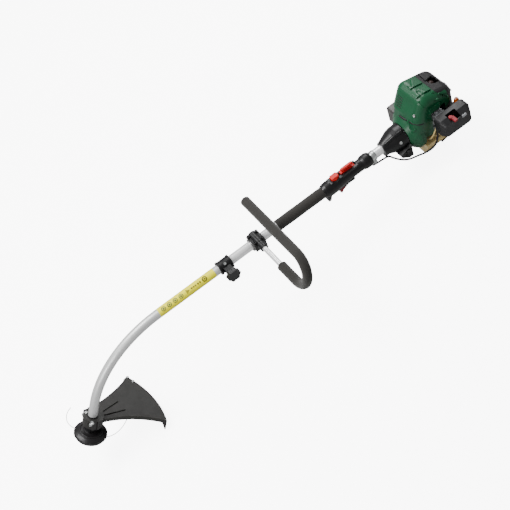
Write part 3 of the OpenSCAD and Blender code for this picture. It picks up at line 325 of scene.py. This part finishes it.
DRESSED = {
    bright_tube: ["upper_tube", "loop_handle_tube"],
    satin_tube: ["lower_tube"],
    black_oxide: ["handle_clamp_bolts", "throttle_housing_screws"],
    zinc: ["guard_bolts", "line_cutter", "head_spring", "drive_rod", "output_arbor",
           "drive_end_bearings", "crankshaft", "spark_plug", "clutch_drum", "clutch_shoes"],
    alloy: ["crankcase", "cylinder", "piston_and_rod", "flywheel", "carburettor"],
    black_nylon: ["drive_end_housing", "coupling_clamp", "coupling_knob", "handle_clamp_base",
                  "handle_clamp_cap", "throttle_housing_left", "throttle_housing_right", "clutch_housing",
                  "engine_stand", "fuel_cap", "starter_grip", "starter_pulley", "filter_base"],
    black_cover: ["rear_cover", "air_filter_cover"],
    guard_plastic: ["guard", "guard_clamp"],
    head_plastic: ["head_housing", "bump_knob", "line_spool"],
    green_abs: ["engine_cowl"],
    red_abs: ["lockout_lever", "stop_button"],
    dark_red_abs: ["throttle_trigger", "choke_lever"],
    rubber: ["throttle_cable", "drive_cable"],
    boot_rubber: ["spark_plug_boot"],
    yellow_vinyl: ["safety_label"],
    nylon_line: ["line_ends", "drive_liner"],
    tank_plastic: ["fuel_tank", "fuel_hoses"],
    amber_pvc: ["primer_bulb"],
    foam: ["loop_handle_foam", "shaft_foam_grip"],
    sponge: ["filter_foam"],
    enamel: ["muffler", "muffler_shield", "ignition_coil"],
}


for finish, names in DRESSED.items():
    for name in names:
        for place in nodes[name].material_slots:
            place.material = finish

# ---- surfaces ----

def add_piece(name, points, faces, finish, body):
    """A smooth, closed mesh from row-frame points, with its faces turned outwards."""
    mesh = bpy.data.meshes.new(name)
    mesh.from_pydata(np.asarray(points).tolist(), [], faces)
    skin = bmesh.new()
    skin.from_mesh(mesh)
    bmesh.ops.recalc_face_normals(skin, faces=skin.faces)
    skin.to_mesh(mesh)
    skin.free()
    mesh.polygons.foreach_set("use_smooth", np.ones(len(mesh.polygons), bool))
    mesh.materials.append(finish)
    piece = bpy.data.objects.new(name, mesh)
    bpy.context.collection.objects.link(piece)
    if body:
        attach(piece, body)
    return piece


def skin_faces(count, sides):
    """Quads between each ring and the next, and a fan from a middle point at both ends."""
    around = np.arange(sides)
    onward = (around + 1) % sides
    start = np.arange(count - 1)[:, None] * sides
    quads = np.stack([start + around, start + onward, start + sides + onward, start + sides + around], -1)
    last = (count - 1) * sides
    near = np.stack([np.full(sides, count * sides), onward, around], -1)
    far = np.stack([np.full(sides, count * sides + 1), last + around, last + onward], -1)
    return quads.reshape(-1, 4).tolist() + near.tolist() + far.tolist()


def loft(name, rings, finish, body):
    """A closed skin over rings of points, given as rings x points x 3."""
    count, sides, _ = rings.shape
    points = np.concatenate([rings.reshape(-1, 3), rings[[0, -1]].mean(axis=1)])
    return add_piece(name, points, skin_faces(count, sides), finish, body)


def smooth_path(points, count):
    """A Catmull-Rom curve through the points, at even steps of its parameter."""
    p = np.asarray(points, float)
    p = np.concatenate([[2 * p[0] - p[1]], p, [2 * p[-1] - p[-2]]])
    u = np.linspace(0, len(points) - 1, count)
    i = np.minimum(u.astype(int), len(points) - 2)
    t = (u - i)[:, None]
    a, b, c, d = p[i], p[i + 1], p[i + 2], p[i + 3]
    return 0.5 * (2 * b + (c - a) * t + (2 * a - 5 * b + 4 * c - d) * t ** 2
                  + (3 * b - a - 3 * c + d) * t ** 3)


def sweep(path, radii, sides=16, upright=(0.0, 0.0, 1.0)):
    """Rings square to a path: point + radius * (cos(a) * across + sin(a) * over)."""
    tangent = np.gradient(path, axis=0)
    tangent /= np.linalg.norm(tangent, axis=1)[:, None]
    across = np.cross(tangent, upright)
    across /= np.linalg.norm(across, axis=1)[:, None]
    over = np.cross(across, tangent)
    angle = np.linspace(0, 2 * pi, sides, endpoint=False)[None, :, None]
    radii = np.broadcast_to(radii, len(path))[:, None, None]
    return path[:, None] + radii * (np.cos(angle) * across[:, None] + np.sin(angle) * over[:, None])


def soft_ends(path, radius, soft):
    """Radii along a path that draw in by a quarter round at both ends."""
    run = np.concatenate([[0], np.cumsum(np.linalg.norm(np.diff(path, axis=0), axis=1))])
    near = np.clip(np.minimum(run, run[-1] - run), 0, soft)
    return radius - soft + np.sqrt(soft ** 2 - (soft - near) ** 2)


def end_rich(count, low, high):
    """Parameters from low to high that crowd towards both ends, as 1 - cos does."""
    return low + (high - low) * (1 - np.cos(np.linspace(0, pi, count))) / 2


def block_rings(middle, axes, size, edge, power=5.0, sides=40):
    """Superellipse rings, |x/a|^p + |y/b|^p = 1, stacked along the third axis and drawn in at both
    ends by a quarter round."""
    arc = np.linspace(0, pi / 2, 6)
    inset = edge * np.concatenate([1 - np.sin(arc), (1 - np.sin(arc))[::-1]])
    rise = edge * (1 - np.cos(arc))
    height = np.concatenate([rise, size[2] - rise[::-1]]) - size[2] / 2
    angle = np.linspace(0, 2 * pi, sides, endpoint=False)
    wide = np.sign(np.cos(angle)) * np.abs(np.cos(angle)) ** (2 / power)
    deep = np.sign(np.sin(angle)) * np.abs(np.sin(angle)) ** (2 / power)
    x = (size[0] / 2 - inset)[:, None] * wide
    y = (size[1] / 2 - inset)[:, None] * deep
    z = np.broadcast_to(height[:, None], x.shape)
    axes = np.asarray(axes, float)
    axes /= np.linalg.norm(axes, axis=1)[:, None]
    return np.asarray(middle) + np.stack([x, y, z], -1) @ axes


def square_axes(out, along=(1.0, 0.0, 0.0)):
    """Three axes square to each other: the first near along, and the third pointing out."""
    out = np.asarray(out, float) / np.linalg.norm(out)
    side = np.cross(out, along)
    side /= np.linalg.norm(side)
    return np.array([np.cross(side, out), side, out])


def screw_head(name, place, out, radius, height, body, frame_of=on_shaft):
    """A zinc hexagon head with a drawn-in rim: six-sided rings up the screw's axis."""
    axes = square_axes(out)
    angle = np.linspace(0, 2 * pi, 6, endpoint=False)
    corners = np.cos(angle)[:, None] * axes[0] + np.sin(angle)[:, None] * axes[1]
    shape = np.array([(1, -1), (1, 0), (1, 0.75), (0.86, 1), (0.4, 1), (0.36, 0.6)])
    reach, rise = shape[:, 0, None, None] * radius, shape[:, 1, None, None] * height
    rings = np.asarray(place) + reach * corners + rise * axes[2]
    piece = loft(name, frame_of(rings), zinc, body)
    piece.data.polygons.foreach_set("use_smooth", np.zeros(len(piece.data.polygons), bool))


def settle(piece):
    """Bakes a piece's modifiers into its mesh."""
    shape = piece.evaluated_get(bpy.context.evaluated_depsgraph_get())
    baked = bpy.data.meshes.new_from_object(shape)
    piece.modifiers.clear()
    piece.data = baked


PANEL_SINK, PANEL_EDGE = 0.6, 0.8    # mm below the shell, and the rim's rounding
PANEL_CELLS = (24, 16)


def pressed_panel(name, corners, thick, finish, target):
    """A raised panel on a shell: the four corners' bilinear grid, drawn to the shell's nearest
    points, given a thickness and a rounded rim. Corners run anticlockwise seen from outside."""
    u, v = np.meshgrid(np.linspace(0, 1, PANEL_CELLS[0] + 1), np.linspace(0, 1, PANEL_CELLS[1] + 1))
    u, v = u[..., None], v[..., None]
    a, b, c, d = (np.asarray(p, float) for p in corners)
    grid = (a * (1 - u) + b * u) * (1 - v) + (d * (1 - u) + c * u) * v
    wide = PANEL_CELLS[0] + 1
    cell = np.arange(PANEL_CELLS[1])[:, None] * wide + np.arange(PANEL_CELLS[0])
    faces = np.stack([cell, cell + 1, cell + wide + 1, cell + wide], -1).reshape(-1, 4)
    mesh = bpy.data.meshes.new(name)
    mesh.from_pydata(on_shaft(grid.reshape(-1, 3)).tolist(), [], faces.tolist())
    mesh.materials.append(finish)
    piece = bpy.data.objects.new(name, mesh)
    bpy.context.collection.objects.link(piece)
    wrap = piece.modifiers.new("wrap", "SHRINKWRAP")
    wrap.target = nodes[target]
    wrap.wrap_method = "NEAREST_SURFACEPOINT"
    wall = piece.modifiers.new("wall", "SOLIDIFY")
    wall.thickness = (thick + PANEL_SINK) / 1000
    wall.offset = 1 - 2 * PANEL_SINK / (thick + PANEL_SINK)
    rim = piece.modifiers.new("rim", "BEVEL")
    rim.width, rim.segments = PANEL_EDGE / 1000, 3
    rim.limit_method = "ANGLE"
    rim.angle_limit = radians(50)
    settle(piece)
    piece.data.polygons.foreach_set("use_smooth", np.ones(len(piece.data.polygons), bool))
    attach(piece, "engine_unit")


# ---- foam sleeves ----

GRIP_START, GRIP_LENGTH, GRIP_RADIUS, GRIP_CLEAR = 378, 150, 15.4, 0.2


def shaft_sleeve():
    """Foam on the shaft: a straight run whose radius swells by a hundredth and rounds off."""
    x = end_rich(60, GRIP_START + GRIP_CLEAR, GRIP_START + GRIP_LENGTH - GRIP_CLEAR)
    path = np.stack([x, 0 * x, 0 * x], -1)
    radii = soft_ends(path, GRIP_RADIUS, 2.2) * (1 + 0.008 * np.sin(x / 11))
    piece = loft("shaft_foam_sleeve", on_shaft(sweep(path, radii, 48)), foam, "engine_unit")
    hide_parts("shaft_foam_grip")


HANDLE_STATION, HANDLE_RISE, HANDLE_LEAN = 311, 22.5, 17
HANDLE_GAP, HANDLE_REACH, HANDLE_OVER = 94, 186, 36
SLEEVE_START, SLEEVE_RADIUS, SLEEVE_PAST = 124, 12.9, 3


def in_handle(y, z):
    """Points of the handle's own plane, which leans back about the handle's pivot."""
    lean = radians(HANDLE_LEAN)
    return np.stack([HANDLE_STATION + sin(lean) * z, y, HANDLE_RISE + cos(lean) * z], -1)


def loop_sleeve():
    """Foam on the loop: out along the lower bar, a half circle, and back along the upper bar. Its
    radius swells by a hundredth along the way."""
    half = HANDLE_GAP / 2
    out = end_rich(40, 0, 1)[:28]
    turn = np.linspace(-pi / 2, pi / 2, 48)[1:-1]
    lower = -SLEEVE_START - (HANDLE_REACH - SLEEVE_START) * out / out[-1]
    end = HANDLE_OVER + SLEEVE_PAST
    upper = end - (HANDLE_REACH + end) * (out / out[-1])[::-1]
    y = np.concatenate([lower, -HANDLE_REACH - half * np.cos(turn), upper])
    z = np.concatenate([0 * lower, half + half * np.sin(turn), 0 * upper + HANDLE_GAP])
    path = in_handle(y, z)
    run = np.arange(len(path))
    radii = soft_ends(path, SLEEVE_RADIUS, 3.4) * (1 + 0.01 * np.sin(run / 3.1))
    rings = on_shaft(sweep(path, radii, 48, (1.0, 0.0, 0.0)))
    piece = loft("loop_foam_sleeve", rings, foam, "loop_handle")
    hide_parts("loop_handle_foam")


def filter_sleeve():
    """The filter's sponge: a soft-cornered block inside the box of its CAD solid, which leans."""
    low, high = (np.array(c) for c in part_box("filter_foam"))
    wide, deep, tall = (high - low) * 1000
    middle = ((low + high) / 2 - shaft_start) @ SHAFT_AXES.T * 1000
    size = (wide - 14, tall - 20, deep - 0.4)
    rings = block_rings(middle, square_axes((0, 1, 0)), size, 3.0)
    piece = loft("filter_sponge_block", on_shaft(rings), sponge, "engine_unit")
    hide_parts("filter_foam")


shaft_sleeve()
loop_sleeve()
filter_sleeve()

# ---- cable, hoses and line ----

CABLE_ROUTE = [
    (680.3, -10, -20), (692.3, -12, -20.5), (726, -16, -21), (736, -25, -27), (748, -38, -34),
    (766, -50, -39), (792, -57, -41), (810, -64, -40), (826, -70, -35), (839, -74, -24),
    (847, -75, -8), (852, -74, 10), (854.4, -71, 27), (855, -68, 40)]
FUEL_ROUTE = [(838, -34, -39.5), (837, -38, -28), (837, -50, -20), (839, -60, -10), (844, -65, 2),
              (851, -67, 16), (856, -67, 23), (860.4, -67, 30.6)]
RETURN_ROUTE = [(854, -34, -39.5), (854, -40, -30), (856, -50, -23), (862, -58, -18), (874, -62, -10),
                (890, -62, 2), (908, -63, 20), (919, -64.5, 34), (931, -65.5, 46), (931, -65.5, 51.4)]


def hose(name, route, diameter, finish, node, upright):
    """A round hose along its route, fixed at both ends."""
    path = on_shaft(smooth_path(route, 90))
    rings = sweep(path, diameter / 2000, 14, upright)
    piece = loft(name, rings, finish, "engine_unit")
    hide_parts(node)


SIDEWAYS, LENGTHWAYS = (0.0, 1.0, 0.0), (1.0, 0.0, 0.0)
hose("throttle_cable_sheath", CABLE_ROUTE, 5.2, rubber, "throttle_cable", SIDEWAYS)
hose("fuel_feed_hose", FUEL_ROUTE, 4.4, tank_plastic, "fuel_hoses", LENGTHWAYS)
hose("fuel_return_hose", RETURN_ROUTE, 4.4, tank_plastic, "fuel_hoses", LENGTHWAYS)

STARTER_X, STARTER_Z = 910.8, 24


def starter_cord():
    """Braided cord from the pulley, out through the eye in the rear cover, into the grip."""
    y = np.linspace(27, 64, 60)
    path = on_shaft(np.stack([0 * y + STARTER_X, y, 0 * y + STARTER_Z], -1))
    piece = loft("starter_cord", sweep(path, 0.0016, 12), braid, "")
    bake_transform(piece)


starter_cord()

# ---- label ----

LABEL_RADIUS, LABEL_MIDDLE = 12.8, radians(210)
INK_SINK, INK_PROUD = 0.02, 0.07


def mark_rings(station, outer, inner, corners=0, sides=48):
    """A flat ring laid round the tube: four closed rings, lower and upper, outer and inner.
    With corners the outline is a regular polygon's, outer * cos(pi/n) / cos(a - nearest middle)."""
    angle = np.linspace(0, 2 * pi, sides, endpoint=False)
    shape = 1 + 0 * angle
    if corners:
        step = 2 * pi / corners
        shape = cos(step / 2) / np.cos((angle % step) - step / 2)
    reach = np.array([outer, outer, inner, inner])[:, None] * shape
    round_tube = LABEL_MIDDLE + reach * np.sin(angle) / LABEL_RADIUS
    radius = LABEL_RADIUS + np.array([-INK_SINK, INK_PROUD, INK_PROUD, -INK_SINK])[:, None] + 0 * reach
    return np.stack([station + reach * np.cos(angle), radius * np.sin(round_tube),
                     -radius * np.cos(round_tube)], -1)


def torus_faces(rings, sides, start=0):
    """Quads of a grid that closes both ways."""
    i, j = np.meshgrid(np.arange(rings), np.arange(sides), indexing="ij")
    down, right = (i + 1) % rings, (j + 1) % sides
    quads = np.stack([i * sides + j, i * sides + right, down * sides + right, down * sides + j], -1)
    return (quads.reshape(-1, 4) + start).tolist()


def label_marks(name, shapes, finish):
    """Printed rings, each given by its station, outer and inner radius and corners."""
    points, faces = [], []
    for shape in shapes:
        rings = mark_rings(*shape)
        faces += torus_faces(rings.shape[0], rings.shape[1], sum(len(p) for p in points))
        points.append(on_shaft(rings.reshape(-1, 3)))
    piece = add_piece(name, np.concatenate(points), faces, finish, "lower_unit")


TEAL_MARKS = [(x, *ring) for x in (20, 38, 56, 74) for ring in ((6.2, 4.2, 0), (2.8, 0.1, 5))]
label_marks("label_teal_rings", TEAL_MARKS, teal_ink)
label_marks("label_olive_triangle", [(94, 6.6, 3.4, 3), (94, 1.4, 0.1, 0)], olive_ink)
label_marks("label_olive_bars", [(x, 3.0, 0.1, 4) for x in (107, 113, 119)], olive_ink)
label_marks("label_brown_disc", [(130, 5.8, 0.1, 6)], brown_ink)
label_marks("label_black_ring", [(147, 7.0, 4.2, 0), (147, 3.2, 0.1, 4)], black_ink)

# ---- cowl ----

def on_cowl(points):
    """Row-frame points of the cowl's surface nearest to a path of shaft-frame points."""
    shell = nodes["engine_cowl"]
    back = shell.matrix_world.inverted()
    near = [shell.closest_point_on_mesh(back @ Vector(p))[1] for p in on_shaft(points)]
    return np.array([shell.matrix_world @ p for p in near])


def rib(name, points, radius, finish, upright=(0.0, 0.0, 1.0)):
    """A half-sunk round rib along the cowl: a curve drawn to the shell, smoothed and swept."""
    path = smooth_path(on_cowl(smooth_path(points, 60))[::6], 60)
    radii = soft_ends(path, radius / 1000, radius / 1000 * 0.8)
    loft(name, sweep(path, radii, 14, upright), finish, "engine_unit")


COWL_PANELS = [
    ("crown_left_panel", [(847, 3, 122), (885, 3, 118), (880, 36, 116), (848, 36, 118)], 3.6),
    ("crown_middle_panel", [(838, -31, 121), (884, -31, 117), (884, -10, 118), (838, -10, 122)], 4.6),
    ("crown_tongue", [(836, -53, 100), (886, -54, 98), (886, -38, 114), (836, -38, 116)], 4.4),
    ("shoulder_panel", [(850, -57, 70), (884, -57, 70), (884, -56, 90), (850, -56, 90)], 4.0)]
for name, corners, thick in COWL_PANELS:
    pressed_panel(name, corners, thick, green_abs, "engine_cowl")
pressed_panel("tongue_tail", [(890, -55, 86), (914, -55, 84), (914, -47, 104), (892, -47, 106)], 3.4,
              green_abs, "rear_cover")
# A black line along the crown's groove in the green cowl: painted shade in the groove.
rib("crown_groove_shade_line", [(866, 3, 121), (866, 20, 121), (865, 36, 118)], 1.0, black_cover, LENGTHWAYS)
# A black strip along the front of the cowl, under the crown's overhang: painted shadow cast by the
# overhang.
rib("front_undercut_shadow_strip", [(803, 14, 52), (804, -1, 53), (812, -24, 54), (823, -45, 53), (834, -56, 52)],
    3.4, black_cover)
rib("scroll_rib", [(806, -21, 59), (801, -30, 42), (800.6, -38, 34), (805, -44, 38), (808.8, -47, 46)],
    2.6, green_abs, LENGTHWAYS)
# Five black strips where the cooling slots are: painted shade inside the slots, which are not cut.
SLOT_COUNT, SLOT_RISE, SLOT_LEAN = 5, 6, 3.2
for i in range(SLOT_COUNT):
    x, z = 812 + SLOT_LEAN * i, 74 + SLOT_RISE * i
    rib("cooling_slot_shade_%d" % (i + 1), [(x, 12, z), (x, 25, z), (x + 1, 38, z)], 1.1, black_cover)
screw_head("cowl_screw", (816.6, -38.8, 79.9), (-0.86, -0.26, 0.44), 4.2, 2.6, "engine_unit")
pressed_panel("rear_left_block", [(896, 6, 116), (922, 6, 104), (922, 38, 100), (898, 38, 110)], 3.5,
              black_cover, "rear_cover")
pressed_panel("rear_right_block", [(916, -46, 88), (934, -44, 80), (936, -14, 86), (918, -16, 100)], 3.0,
              black_cover, "rear_cover")

# ---- small fittings ----

def clutch_ridge():
    """The rounded spine that runs up the upper left of the clutch housing."""
    x = np.linspace(727, 786, 40)
    reach = np.interp(x, [727, 756, 770, 786], [20, 32, 35, 36.5])
    path = np.stack([x, -0.43 * reach, 0.9 * reach], -1)
    radii = soft_ends(path, 5.0, 4.6)
    loft("clutch_ridge", on_shaft(sweep(path, radii, 20)), black_nylon, "engine_unit")


clutch_ridge()
screw_head("clutch_lug_bolt", (764.5, -31.5, 13.7), (-0.21, -0.89, 0.39), 4.5, 3.0, "engine_unit")


def tube_clip():
    """A pressed band round the shaft with a folded ear, in front of the clutch housing."""
    x = np.array([684, 684.01, 684.62, 697.43, 698.04, 698.05])
    radii = np.array([12.6, 13.4, 14.0, 14.0, 13.4, 12.6])
    path = np.stack([x, 0 * x, 0 * x], -1)
    loft("cable_clip_band", on_shaft(sweep(path, radii, 48)), zinc, "engine_unit")
    rings = block_rings((691, -8, -15.5), square_axes((0, -0.5, -0.9)), (12, 9, 8), 1.2)
    loft("cable_clip_ear", on_shaft(rings), zinc, "engine_unit")


tube_clip()
screw_head("guard_corner_screw_1", (-156.5, 94.7, 12.8), (0, 0, -1), 4.6, 2.6, "lower_unit", on_head)
screw_head("guard_corner_screw_2", (-162.6, 75.2, 12.8), (0, 0, -1), 4.6, 2.6, "lower_unit", on_head)
screw_head("neck_top_bolt", (13.2, 13.1, 2.0), (0, 0, -1), 4.4, 3.4, "lower_unit", on_head)
screw_head("neck_side_bolt", (14, -23.8, 4), (0, -1, 0), 4.6, 3.2, "lower_unit", on_head)
screw_head("coupling_release_button", (211, -9.4, 14.6), (0, -0.54, 0.84), 4.2, 2.4, "engine_unit")


RING_RADIUS, RING_DEPTH = 29, 55.4
RING_HALF_WIDTH, RING_HALF_HEIGHT = 2.4, 1.8


def head_ring():
    """The raised ring on the line head's upper face: an ellipse turned about the head's axis."""
    turn = np.linspace(0, 2 * pi, 72, endpoint=False)
    roll = np.linspace(0, 2 * pi, 14, endpoint=False)[:, None]
    radius = RING_RADIUS + RING_HALF_WIDTH * np.cos(roll)
    depth = RING_DEPTH + RING_HALF_HEIGHT * np.sin(roll) + 0 * turn
    rings = np.stack([radius * np.cos(turn), radius * np.sin(turn), depth], -1)
    add_piece("head_ring", on_head(rings.reshape(-1, 3)), torus_faces(14, 72), head_plastic, "line_head")


head_ring()


def control_block(name, middle, size, edge, finish, body, out=(0.0, 0.0, 1.0)):
    """A round-cornered moulding on a control."""
    loft(name, on_shaft(block_rings(middle, square_axes(out), size, edge)), finish, body)


control_block("stop_button_cap", (571, 0, 24.5), (23, 17, 10), 2.4, red_abs, "stop")
control_block("lockout_grip", (612, 0, 30), (38, 8.5, 8), 2.0, red_abs, "lockout")
control_block("filter_latch_plate", (913, -116.4, 60), (14, 9, 2.4), 0.8, alloy, "filter_cover",
              (0.0, -1.0, 0.0))
